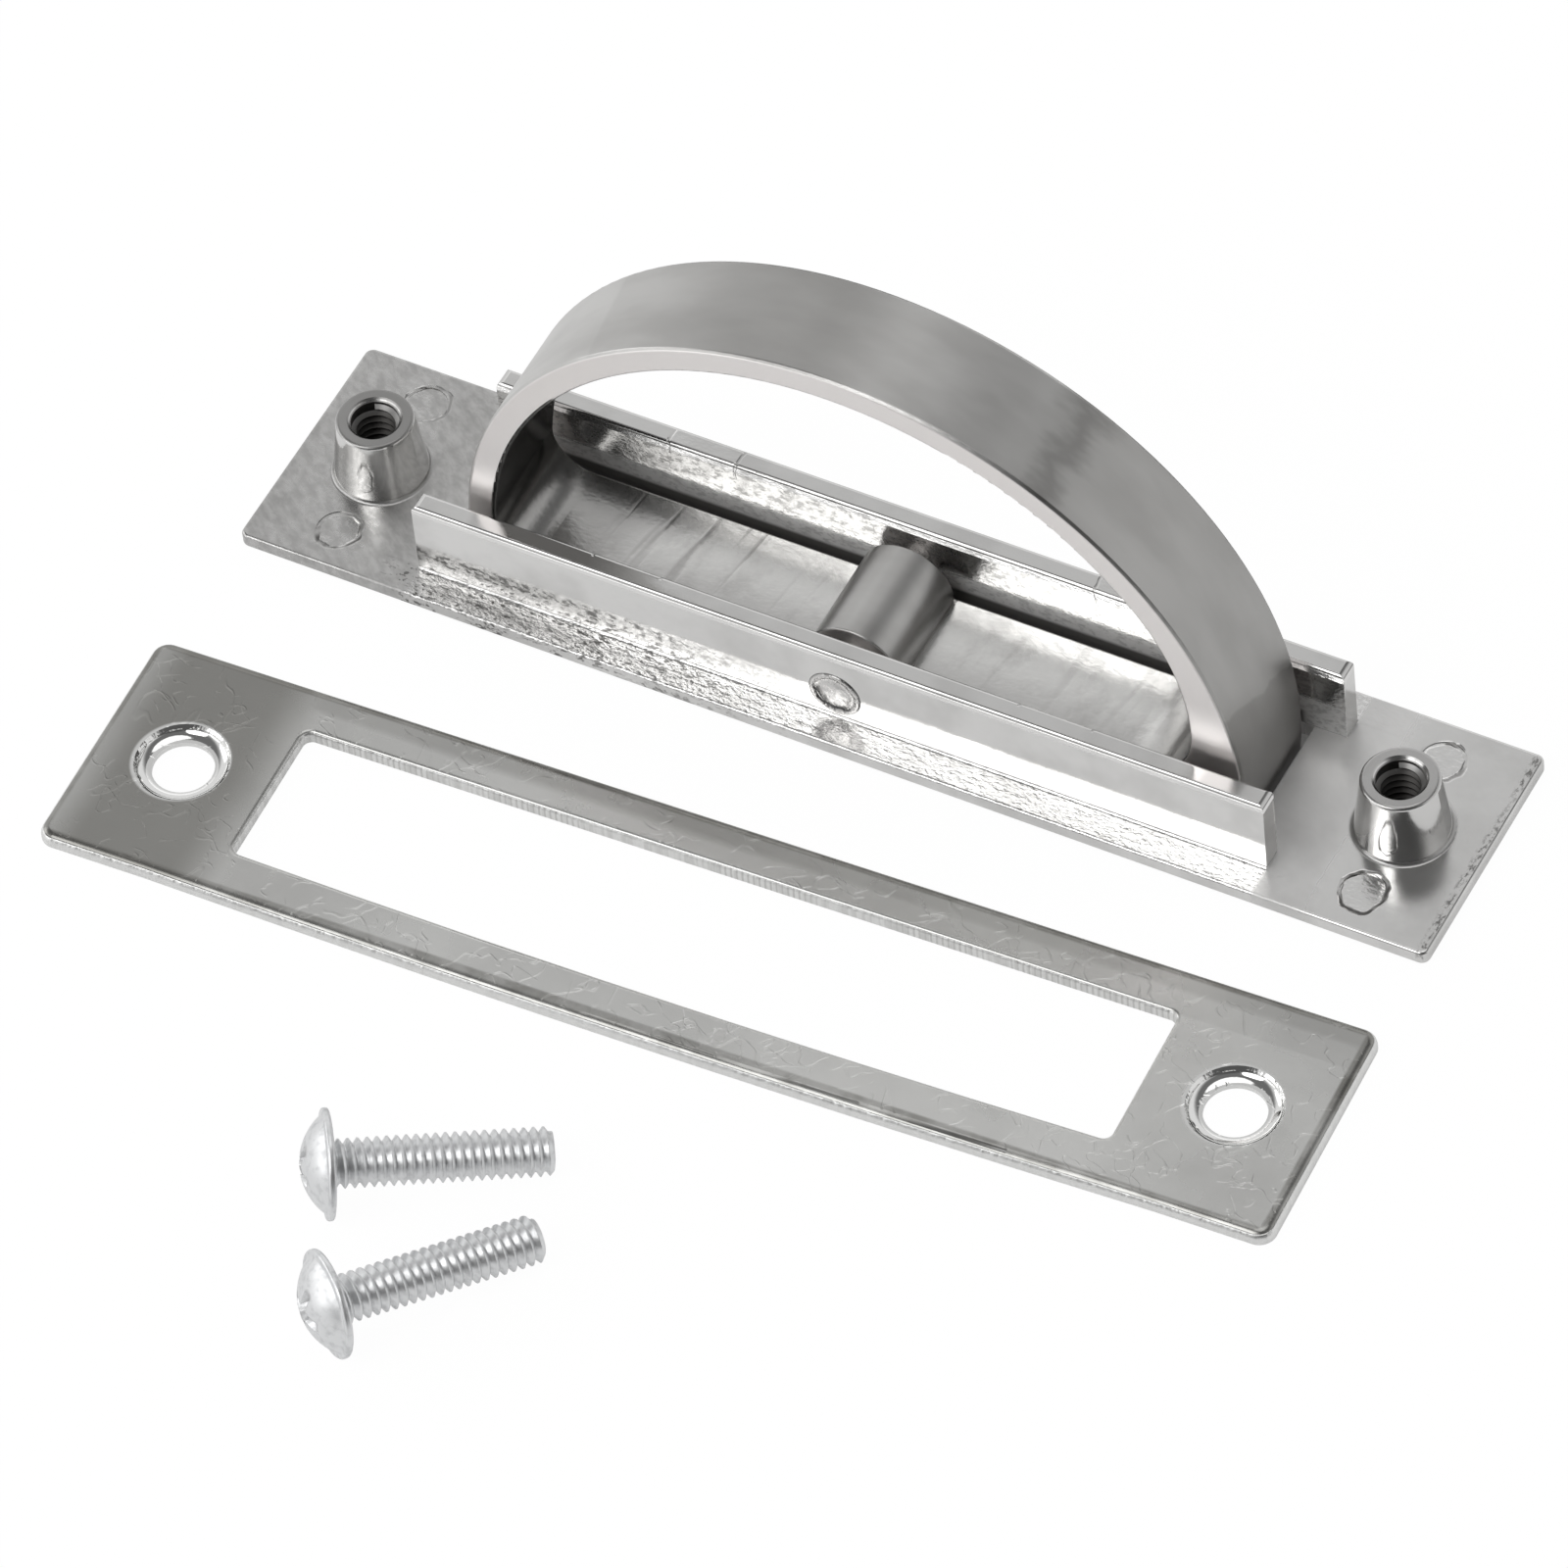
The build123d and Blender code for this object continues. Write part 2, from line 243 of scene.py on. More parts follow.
class Sheet(Nodes):
    """A material with its node tree: the place on the piece, and noises, mixes and bumps."""

    name: str = "sheet"

    def __init__(self) -> None:
        """Starts an empty metal."""
        self.material = bpy.data.materials.new(self.name)
        self.material.use_nodes = True
        super().__init__(self.material.node_tree)
        self.shader = self.tree.nodes["Principled BSDF"]
        self.shader.inputs["Metallic"].default_value = 1.0
        coordinates = self.add("ShaderNodeTexCoord")
        self.place = coordinates.outputs["Object"]
        self.facing = coordinates.outputs["Normal"]
        self.x, self.y, self.z = self.axes(self.place)
        self.along = self.size(self.x)
        self.across = self.size(self.y)

    def stretched(self, scale: Triple, turn: float = 0.0, shift: Triple = NOWHERE) -> Socket:
        """Gives the place on the piece, turned about Z and then stretched.

        Args:
            scale: The factor along each axis.
            turn: The turn about Z in radians.
            shift: What is added to the turned place before the scale.

        Returns:
            The vector output.
        """
        moved = self.add("ShaderNodeMapping")
        self.feed(moved.inputs["Vector"], self.place)
        moved.inputs["Location"].default_value = shift
        moved.inputs["Rotation"].default_value = (0.0, 0.0, turn)
        sized = self.add("ShaderNodeMapping")
        self.feed(sized.inputs["Vector"], moved.outputs["Vector"])
        sized.inputs["Scale"].default_value = scale
        return sized.outputs["Vector"]

    def noise(
        self, place: Socket, scale: float = 1.0, detail: float = 2.0, rough: float = 0.5
    ) -> Socket:
        """Adds a noise texture.

        Args:
            place: Where it is read.
            scale: Blobs in a metre.
            detail: Octaves.
            rough: How strong the fine octaves are.

        Returns:
            The noise, about 0.5 in the middle.
        """
        node = self.add("ShaderNodeTexNoise")
        self.feed(node.inputs["Vector"], place)
        node.inputs["Scale"].default_value = scale
        node.inputs["Detail"].default_value = detail
        node.inputs["Roughness"].default_value = rough
        return node.outputs["Fac"]

    def grain(
        self, scale: Triple, turn: float = 0.0, detail: float = 2.0, rough: float = 0.5
    ) -> Socket:
        """Adds a noise that is drawn out along an axis.

        Args:
            scale: Blobs in a metre along each axis.
            turn: The turn of the axes about Z in radians.
            detail: Octaves.
            rough: How strong the fine octaves are.

        Returns:
            The noise, about 0.5 in the middle.
        """
        return self.noise(self.stretched(scale, turn), 1.0, detail, rough)

    def blend(self, share: Socket, first: object, second: object) -> Socket:
        """Mixes two numbers.

        Args:
            share: How much of the second shows.
            first: The first value.
            second: The second value.

        Returns:
            The mixed number.
        """
        node = self.add("ShaderNodeMix", data_type="FLOAT")
        self.feed(node.inputs["Factor"], share)
        self.feed(node.inputs[2], first)
        self.feed(node.inputs[3], second)
        return node.outputs[0]

    def tint(self, share: Socket, *colours: Socket | Colour) -> Socket:
        """Mixes two colours.

        Args:
            share: How much of the second shows.
            colours: The two colours, each an output or a constant.

        Returns:
            The mixed colour.
        """
        node = self.add("ShaderNodeMix", data_type="RGBA")
        self.feed(node.inputs["Factor"], share)
        for socket, colour in zip(node.inputs[6:8], colours):
            self.feed(socket, (*colour, 1.0) if isinstance(colour, tuple) else colour)
        return node.outputs[2]

    def relief(self, height: Socket, depth: float, under: Socket | None = None) -> Socket:
        """Turns a height into a bumped normal.

        Args:
            height: The height, from 0 to 1.
            depth: What a height of 1 stands for.
            under: A normal to bump further.

        Returns:
            The bumped normal.
        """
        node = self.add("ShaderNodeBump")
        self.feed(node.inputs["Height"], height)
        node.inputs["Distance"].default_value = depth
        if under is not None:
            self.feed(node.inputs["Normal"], under)
        return node.outputs["Normal"]

    def finish(self, colour: Socket, roughness: Socket, normal: Socket) -> bpy.types.Material:
        """Feeds the shader.

        Args:
            colour: The base colour.
            roughness: The roughness.
            normal: The bumped normal.

        Returns:
            The finished material.
        """
        self.feed(self.shader.inputs["Base Color"], colour)
        self.feed(self.shader.inputs["Roughness"], roughness)
        self.feed(self.shader.inputs["Normal"], normal)
        return self.material


class BrightCasting(Sheet):
    """Bright nickel over a die casting: flat tops, pitted margins, marks of the mould's pins."""

    name = Slot.BRIGHT_CASTING.value
    clear: Colour = (0.80, 0.795, 0.785)
    dull: Colour = (0.70, 0.695, 0.685)
    # Dark colour for grime and for painted shade.
    grime_and_shade: Colour = (0.07, 0.067, 0.063)
    flange_top: float = 1.4 * MM
    flange_half_length: float = 55.6 * MM
    wall_inner: float = 6.48 * MM
    wall_outer: float = 8.55 * MM
    wall_top: float = 9.2 * MM
    wall_half_length: float = 39.72 * MM
    tray_top: float = 3.6 * MM
    loop_end: float = 36.35 * MM
    post_place: float = 48.0 * MM
    post_top: float = 7.7 * MM
    post_bore: float = 2.08 * MM
    lip_width: float = 0.9 * MM
    lip_fall: float = 0.52
    lean_fall: float = 0.4
    pit_depth: float = 0.10 * MM
    groove_depth: float = 0.05 * MM
    ripple_depth: float = 0.016 * MM
    glint_middle: float = 1.4 * MM
    foot_glint: float = 34.1 * MM
    flange_mark: Triple = (47.9 * MM, 7.6 * MM, 2.0 * MM)
    wall_mark: Triple = (20.0 * MM, 7.5 * MM, 3.3 * MM)

    def make(self) -> bpy.types.Material:
        """Makes the material."""
        low = self.span(self.z, self.flange_top + 0.05 * MM, self.flange_top + 0.3 * MM, 1.0, 0.0)
        inside = self.span(
            self.across, self.wall_inner + 0.1 * MM, self.wall_inner + 0.25 * MM, 1.0, 0.0
        )
        along_wall = self.span(
            self.along, self.wall_half_length, self.wall_half_length + MM, 1.0, 0.0
        )
        wall = self.times(inside, along_wall, self.rest(low))
        margin = self.margin(low)
        pits = self.pits()
        patch = self.noise(self.place, 160.0, 3.0)
        grooves, pads = self.marks()
        fade = self.span(self.x, -30.0 * MM, 15.0 * MM, 1.0, 0.55)
        pitted = self.most(
            self.times(margin, fade), self.times(wall, 0.3), self.times(pads, 0.25)
        )
        ripple = self.grain((260.0, 420.0, 420.0))
        normal = self.relief(ripple, self.ripple_depth)
        normal = self.relief(self.times(pits, pitted), self.pit_depth, normal)
        normal = self.relief(grooves, -self.groove_depth, normal)
        normal = self.relief(self.lips(), -MM, normal)
        skirt = self.times(self.skirt(), along_wall)
        from_post = self.from_post()
        in_grooves = self.times(grooves, self.span(self.y, 4.0 * MM, -4.0 * MM, 0.55, 0.9))
        # Darkening: real marks (grooves, chips, specks, scuffs) plus painted shade below the tray, in
        # the tapped holes, on the wall tops and round the posts' feet.
        dirt_and_shade = self.most(
            in_grooves,
            self.chips(low),
            self.specks_and_skirt_shade(margin, skirt, pits),
            self.wall_mottle_and_shade(wall, pits),
            self.bore_shade(from_post),
            self.tops(from_post),
            self.scuffs(low),
        )
        colour = self.tint(self.span(patch, 0.4, 0.7), self.clear, self.dull)
        colour = self.tint(dirt_and_shade, colour, self.grime_and_shade)
        smooth = self.span(patch, 0.3, 0.75, 0.07, 0.13)
        on_flange = self.span(patch, 0.3, 0.75, 0.12, 0.22)
        roughness = self.blend(pitted, self.blend(low, smooth, on_flange), 0.15)
        landing = self.landing(low, inside)
        top = self.tray_top
        toe = self.times(wall, self.span(self.z, top + 1.9 * MM, top + 0.9 * MM))
        roughness = self.blend(self.most(landing, toe), roughness, 0.36)
        cast_skin = self.most(self.times(landing, 0.55), self.times(toe, 0.75))
        self.feed(self.shader.inputs["Metallic"], self.rest(cast_skin))
        return self.finish(colour, self.blend(dirt_and_shade, roughness, 0.5), normal)

    def skirt(self) -> Socket:
        """Finds the strip low on the walls' outer faces, which is pitted like the flange."""
        return self.times(
            self.span(self.z, 4.6 * MM, 3.9 * MM),
            self.span(self.z, 2.2 * MM, 2.9 * MM),
            self.span(self.across, self.wall_outer - 0.25 * MM, self.wall_outer - 0.1 * MM),
        )

    def landing(self, low: Socket, inside: Socket) -> Socket:
        """Finds the dull cast skin on the flange between the loop's feet and the posts.

        Args:
            low: 1 on the flange, 0 above it.
            inside: 1 between the walls.

        Returns:
            1 on that skin, 0 elsewhere.
        """
        end = self.wall_half_length
        start = self.span(self.along, end - 0.3 * MM, end + 0.3 * MM)
        between = self.times(inside, self.span(self.along, self.loop_end - MM, self.loop_end))
        stop = self.span(self.along, end + 6.5 * MM, end + 2.5 * MM)
        return self.times(self.most(start, between), stop, low)

    def scuffs(self, low: Socket) -> Socket:
        """Scuffs the left end of the flange.

        Args:
            low: 1 on the flange, 0 above it.

        Returns:
            The share of grime.
        """
        rubs = self.grain((700.0, 1300.0, 700.0), 0.6, 3.0, 0.6)
        left = self.times(low, self.span(self.x, -33.0 * MM, -42.0 * MM, 0.05, 0.36))
        return self.times(left, self.span(rubs, 0.3, 0.7, 0.75, 1.3))

    def specks_and_skirt_shade(self, margin: Socket, skirt: Socket, pits: Socket) -> Socket:
        """Dulls the pitted strips with dark specks in streaks along the body, most of them at its
        left, and paints shade on the walls' low strip at the left.

        Args:
            margin: How pitted the flange's skin is.
            skirt: 1 on the pitted strip low on the walls' outer faces.
            pits: The pits' height.

        Returns:
            The share of grime and painted shade.
        """
        drawn_out = self.grain((240.0, 1900.0, 1900.0))
        streaks = self.span(drawn_out, 0.42, 0.56, 0.25, 1.0)
        specks = self.times(self.span(pits, 0.66, 0.52), streaks)
        specks = self.times(specks, self.span(self.x, 4.0 * MM, -26.0 * MM, 0.08, 0.85))
        veil = self.span(self.x, -20.0 * MM, -31.0 * MM, 0.0, 0.26)
        beside = self.times(self.most(specks, veil), self.most(margin, skirt))
        # Painted shade: a darker cloud on the walls' low strip at the left, standing in for the
        # darker flange that the strip mirrors.
        cloud = self.times(
            self.span(self.x, 0.0, -22.0 * MM, 0.0, 0.8), self.span(pits, 0.72, 0.5, 0.3, 1.0)
        )
        return self.most(beside, self.times(cloud, skirt))

    def wall_mottle_and_shade(self, wall: Socket, pits: Socket) -> Socket:
        """Mottles the walls' inner faces and paints shade, near black, on what lies below the tray.

        Args:
            wall: 1 on the walls' inner faces.
            pits: The pits' height.

        Returns:
            The share of mottle and painted shade.
        """
        # Painted shade: near black on the walls' inner faces below the tray, within the loop's span,
        # where the gap under the handle lies in shadow.
        shut = self.span(self.z, self.tray_top - 0.7 * MM, self.tray_top - 0.1 * MM, 0.94, 0.0)
        shut = self.times(shut, self.span(self.along, self.loop_end, self.loop_end - MM))
        veil = self.times(
            self.span(self.x, 12.0 * MM, 7.0 * MM, 0.0, 0.2),
            self.span(self.z, self.tray_top + 1.6 * MM, self.tray_top + 2.4 * MM),
        )
        mottle = self.plus(self.span(pits, 0.70, 0.5, 0.0, 0.3), veil)
        return self.times(self.most(shut, mottle), wall)

    def tops(self, from_post: Socket) -> Socket:
        """Darkens the tops of the walls and of the posts and the line round each post's foot, with
        painted shade on the wall tops and at the feet.

        Args:
            from_post: The distance from the nearer post's axis.

        Returns:
            The share of painted shade and darker rim.
        """
        # Painted shade over the glint of the loop's feet on the near wall's top.
        from_foot = self.gap(self.gap(self.x, self.glint_middle), self.foot_glint)
        glint = self.times(
            self.span(from_foot, 2.2 * MM, 1.3 * MM, 0.10, 0.30),
            self.span(self.y, -6.0 * MM, -6.3 * MM),
        )
        # Painted shade on the wall tops, heavier on the band just below their top face.
        worn = self.span(self.z, self.wall_top - 0.12 * MM, self.wall_top - 0.04 * MM, 0.22, 0.10)
        crown = self.span(self.z, self.wall_top - 0.4 * MM, self.wall_top - 0.3 * MM)
        crown = self.times(crown, self.most(glint, worn))
        rim = self.times(
            self.span(self.z, self.post_top - 0.25 * MM, self.post_top - 0.05 * MM),
            self.span(from_post, 4.0 * MM, 3.8 * MM),
        )
        rim = self.times(rim, self.span(self.x, -40.0 * MM, 40.0 * MM, 0.62, 0.42))
        # Painted shade in the crease round each post's foot.
        foot = self.times(
            self.span(from_post, 3.7 * MM, 4.1 * MM), self.span(from_post, 4.7 * MM, 4.2 * MM)
        )
        at_foot = self.span(
            self.z, self.flange_top + 0.5 * MM, self.flange_top + 0.2 * MM, 0.0, 0.5
        )
        return self.most(crown, self.most(rim, self.times(foot, at_foot)))

    def lips(self) -> Socket:
        """Leans the walls' faces back a little and wears their upper edges round.

        Returns:
            How far the face has fallen back, in millimetres.
        """
        lip = self.ramp(self.z, self.wall_top - self.lip_width, self.wall_top - 0.3 * MM)
        lean = self.ramp(self.z, self.flange_top, self.wall_top)
        fall = self.plus(self.times(lip, self.lip_fall), self.times(lean, self.lean_fall))
        end = self.wall_half_length
        return self.times(fall, self.span(self.along, end + 0.2 * MM, end + 0.5 * MM, 1.0, 0.0))

    def from_post(self) -> Socket:
        """Gives the distance from the nearer post's axis."""
        return self.reach(self.minus(self.along, self.post_place), self.across)

    def bore_shade(self, from_post: Socket) -> Socket:
        """Paints shade in the tapped holes, darker towards their floor.

        Args:
            from_post: The distance from the post's axis.

        Returns:
            The share of painted shade.
        """
        edge = self.post_bore
        hole = self.span(from_post, edge + 0.05 * MM, edge + 0.15 * MM, 1.0, 0.0)
        deep = self.span(self.z, self.post_top - 0.4 * MM, self.post_top - 1.8 * MM, 0.62, 0.97)
        return self.times(hole, deep)

    def margin(self, low: Socket) -> Socket:
        """Says how pitted the skin is: most on the strips of flange beside the walls.

        Args:
            low: 1 on the flange, 0 above it.

        Returns:
            The share, from 0.02 on the flat tops to 1 on the strips.
        """
        beside = self.span(self.across, self.wall_outer - 0.3 * MM, self.wall_outer + 0.1 * MM)
        end = self.wall_half_length
        strip = self.span(self.along, end, end + 6.0 * MM, 1.0, 0.06)
        return self.plus(self.times(beside, strip, low), 0.02)

    def pits(self) -> Socket:
        """Gives the uneven skin, drawn out a little along the body."""
        coarse = self.grain((1300.0, 2200.0, 2200.0), 0.0, 3.0, 0.6)
        fine = self.grain((3200.0, 4800.0, 4800.0), 0.3)
        return self.plus(coarse, self.times(fine, 0.3))

    def marks(self) -> tuple[Socket, Socket]:
        """Draws the rings that the mould's pins left on the flange's corners and on the wall tops.

        Returns:
            The grooves, and the rough pads inside them, each 1 there and 0 beside.
        """
        wander = self.span(self.noise(self.place, 380.0), 0.2, 0.8, -0.3 * MM, 0.3 * MM)
        rings = []
        discs = []
        for (mid_x, mid_y, radius), start, end, width in (
            (self.flange_mark, self.flange_top + 0.3 * MM, self.flange_top + 0.1 * MM, 0.26 * MM),
            (self.wall_mark, self.flange_top + 5.5 * MM, self.flange_top + 7.0 * MM, 0.16 * MM),
        ):
            reach = self.reach(self.minus(self.along, mid_x), self.minus(self.across, mid_y))
            reach = self.plus(reach, wander)
            ring = self.span(self.gap(reach, radius), width * 0.25, width, 1.0, 0.0)
            level = self.span(self.z, start, end)
            rings.append(self.times(ring, level))
            discs.append(self.times(self.span(reach, radius, radius - 0.25 * MM), level))
        within = self.span(
            self.across, self.wall_outer - 0.3 * MM, self.wall_outer - 0.15 * MM, 0.6, 0.0
        )
        far = self.span(self.y, 0.0, self.wall_inner)
        lip = self.span(
            self.across, self.wall_inner + 0.4 * MM, self.wall_inner + 0.6 * MM, 0.6, 0.0
        )
        on_wall = self.most(self.times(within, far), lip)
        grooves = self.most(rings[0], self.times(rings[1], on_wall))
        pads = self.most(discs[0], self.times(discs[1], on_wall))
        broken = self.span(self.noise(self.place, 330.0), 0.38, 0.52, 0.25, 1.0)
        return self.times(grooves, broken), pads

    def chips(self, low: Socket) -> Socket:
        """Marks the dark chips inside the flange's right end.

        Args:
            low: 1 on the flange, 0 above it.

        Returns:
            The share of grime.
        """
        edge = self.flange_half_length
        band = self.times(
            self.span(self.x, edge - 1.2 * MM, edge - 0.7 * MM),
            self.span(self.x, edge - 0.2 * MM, edge - 0.4 * MM),
        )
        broken = self.grain((3000.0, 1400.0, 1400.0), 0.1, 3.0, 0.65)
        flakes = self.span(broken, 0.44, 0.62)
        groups = self.span(self.noise(self.place, 160.0, 1.0), 0.36, 0.6, 0.45, 1.0)
        return self.times(flakes, groups, band, low, 0.75)


class SatinCasting(Sheet):
    """The swing handle's finish: satin outside, a paler side and a bright cast skin inside."""

    name = Slot.SATIN_CASTING.value
    satin: Colour = (0.74, 0.735, 0.72)
    side: Colour = (0.88, 0.85, 0.84)
    skin: Colour = (0.80, 0.795, 0.78)
    streak: Colour = (0.30, 0.29, 0.28)
    shade: Colour = (0.13, 0.125, 0.12)
    grip_radius: float = 36.35 * MM
    pin_height: float = 4.2 * MM
    tray_half_width: float = 5.3 * MM
    barrel_radius: float = 4.2 * MM
    foot_start: float = 22.0 * MM
    heel_start: float = 31.0 * MM
    lip_width: float = 0.35 * MM
    band_place: float = 19.2 * MM
    pale_place: float = 12.4 * MM
    polish_end: float = -23.3 * MM
    foot_shade_top: float = 12.7 * MM
    wave_depth: float = 0.014 * MM
    pit_depth: float = 0.022 * MM
    brush_depth: float = 0.0012 * MM
    streak_depth: float = 0.04 * MM

    def make(self) -> bpy.types.Material:
        """Makes the material."""
        reach = self.length(self.stretched((1.0, 0.0, 1.0), shift=(0.0, 0.0, -self.pin_height)))
        outer = self.span(reach, self.grip_radius - 0.4 * MM, self.grip_radius - 0.15 * MM)
        flank = self.span(self.size(self.axes(self.facing)[1]), 0.8, 0.97)
        barrel = self.span(
            reach, self.barrel_radius + 0.1 * MM, self.barrel_radius + 0.4 * MM, 1.0, 0.0
        )
        inner = self.rest(self.most(outer, flank, barrel))
        streaks = self.streaks()
        wave = self.grain((120.0, 240.0, 120.0))
        pits = self.grain((1100.0, 1500.0, 1500.0), 0.0, 3.0, 0.6)
        brush = self.grain((50.0, 3500.0, 50.0), 0.0, 3.0, 0.6)
        normal = self.relief(wave, self.wave_depth)
        normal = self.relief(self.times(pits, inner), self.pit_depth, normal)
        normal = self.relief(self.times(brush, self.rest(inner)), self.brush_depth, normal)
        normal = self.relief(streaks, -self.streak_depth, normal)
        normal = self.relief(self.lips(reach), -0.5 * self.lip_width, normal)
        patch = self.grain((90.0, 220.0, 90.0), 0.0, 3.0)
        colour = self.tint(self.span(patch, 0.3, 0.75, 0.0, 0.3), self.satin, self.streak)
        # Painted shade on the loop's outer face.
        colour = self.tint(self.times(self.bands(), outer), colour, self.shade)
        colour = self.tint(self.times(barrel, 0.35), colour, self.shade)
        mottle = self.grain((420.0, 300.0, 420.0), 0.0, 3.0, 0.6)
        skin = self.tint(self.span(mottle, 0.45, 0.75, 0.0, 0.22), self.skin, self.streak)
        colour = self.tint(inner, colour, skin)
        colour = self.tint(flank, colour, self.side)
        colour = self.tint(self.times(streaks, 0.85), colour, self.streak)
        colour = self.tint(self.times(self.foot(), inner), colour, self.shade)
        roughness = self.blend(inner, 0.33, 0.22)
        return self.finish(colour, self.blend(flank, roughness, 0.40), normal)

    def lips(self, reach: Socket) -> Socket:
        """Wears the edges round where the loop's outer face meets its sides.

        Args:
            reach: The distance from the pin's axis.

        Returns:
            How far the edge has fallen back, from 0 to 1.
        """
        width = self.lip_width
        rim = self.ramp(self.across, self.tray_half_width - width, self.tray_half_width)
        skirt = self.ramp(reach, self.grip_radius - width, self.grip_radius)
        both = self.times(rim, skirt)
        return self.times(both, both)

    def foot(self) -> Socket:
        """Shades the cast skin inside the loop towards its feet, its left end and its near side.

        Returns:
            The share of shade.
        """
        start = self.foot_start
        foot = self.times(
            self.span(self.along, start, start + 8.0 * MM),
            self.span(self.z, 3.0 * MM, 6.0 * MM, 0.35, 0.92),
        )
        heel = self.span(self.along, self.heel_start, self.heel_start + 4.0 * MM, 0.0, 0.88)
        left = self.span(self.x, -19.0 * MM, -27.0 * MM, 0.0, 0.5)
        near = self.span(self.y, 1.5 * MM, -3.5 * MM, 0.0, 0.34)
        return self.most(foot, heel, left, near)

    def bands(self) -> Socket:
        """Paints shade on the loop's outer face: a faint band right of its top, a darker right foot
        and a small step where the polished left ends.

        Returns:
            The share of painted shade.
        """
        cloud = self.grain((160.0, 420.0, 160.0), 0.0, 3.0)
        off = self.plus(self.x, self.span(cloud, 0.2, 0.8, -1.8 * MM, 1.8 * MM))
        band = self.span(self.gap(off, self.band_place), 0.0, 2.6 * MM, 0.22, 0.0)
        level = self.plus(
            self.z,
            self.times(self.y, 0.28),
            self.span(cloud, 0.2, 0.8, -0.5 * MM, 0.5 * MM),
        )
        top = self.foot_shade_top
        foot = self.span(level, top + 0.7 * MM, top - 0.7 * MM, 0.0, 0.62)
        foot = self.times(foot, self.span(self.x, 10.0 * MM, 20.0 * MM))
        lean = self.plus(self.x, self.times(self.y, 0.18))
        end = self.polish_end
        polish = self.span(lean, end - 0.3 * MM, end + 0.3 * MM, 0.0, 0.09)
        crest = self.times(
            self.span(self.x, -23.0 * MM, -6.0 * MM, 0.0, 0.35),
            self.span(self.x, 6.0 * MM, -3.0 * MM),
        )
        right = self.span(self.x, 15.0 * MM, 20.0 * MM, 0.0, 0.27)
        off_pale = self.gap(self.x, self.pale_place)
        pale = self.span(off_pale, 3.0 * MM, 6.5 * MM, 0.0, 0.12)
        face = self.plus(polish, self.most(crest, right), pale)
        return self.most(self.plus(band, face), foot)

    def streaks(self) -> Socket:
        """Draws the flow streaks across the tray, strongest at its far left.

        Returns:
            1 in a streak, 0 beside it.
        """
        lines = self.span(self.grain((520.0, 40.0, 0.0), 0.12, 2.0, 0.6), 0.54, 0.68)
        left = self.times(
            self.span(self.x, -28.0 * MM, -25.0 * MM),
            self.span(self.x, -15.0 * MM, -9.0 * MM, 1.0, 0.25),
        )
        far = self.span(self.y, -self.tray_half_width, self.tray_half_width, 0.25, 1.0)
        inside = self.span(self.z, 5.0 * MM, 7.0 * MM, 1.0, 0.0)
        return self.times(self.times(lines, left), self.times(far, inside))


class PinSteel(Sheet):
    """Plain steel, hammered over at both ends into a low button with a ring round it."""

    name = Slot.PIN_STEEL.value
    colour: Colour = (0.74, 0.73, 0.72)
    # Dark colour for the seam's grime and for painted shade in the groove.
    grime_and_shade: Colour = (0.05, 0.05, 0.05)
    height: float = 4.2 * MM
    ring_radius: float = 1.7 * MM
    rim_radius: float = 2.45 * MM
    blow_depth: float = 0.10 * MM
    groove_depth: float = 0.06 * MM

    def make(self) -> bpy.types.Material:
        """Makes the material."""
        centred = self.stretched((1.0, 0.0, 1.0), shift=(0.0, 0.0, -self.height))
        reach = self.length(centred)
        blows = self.noise(self.place, 1400.0)
        wander = self.plus(reach, self.span(blows, 0.2, 0.8, -0.2 * MM, 0.2 * MM))
        off_ring = self.gap(wander, self.ring_radius)
        groove = self.span(off_ring, 0.10 * MM, 0.42 * MM, 1.0, 0.0)
        side, _, height = self.axes(centred)
        lean = self.plus(height, self.times(side, 0.45))
        below = self.span(lean, 0.1 * MM, -0.9 * MM)
        # Painted shade: the groove round the button is darkened along its lower side, in patches.
        dirt_and_shade = self.times(groove, self.times(below, self.span(blows, 0.3, 0.42)))
        seam = self.span(reach, self.rim_radius - 0.2 * MM, self.rim_radius, 0.0, 0.8)
        normal = self.relief(blows, self.blow_depth)
        normal = self.relief(groove, -self.groove_depth, normal)
        colour = self.tint(self.most(dirt_and_shade, seam), self.colour, self.grime_and_shade)
        return self.finish(colour, self.span(blows, 0.3, 0.7, 0.18, 0.32), normal)


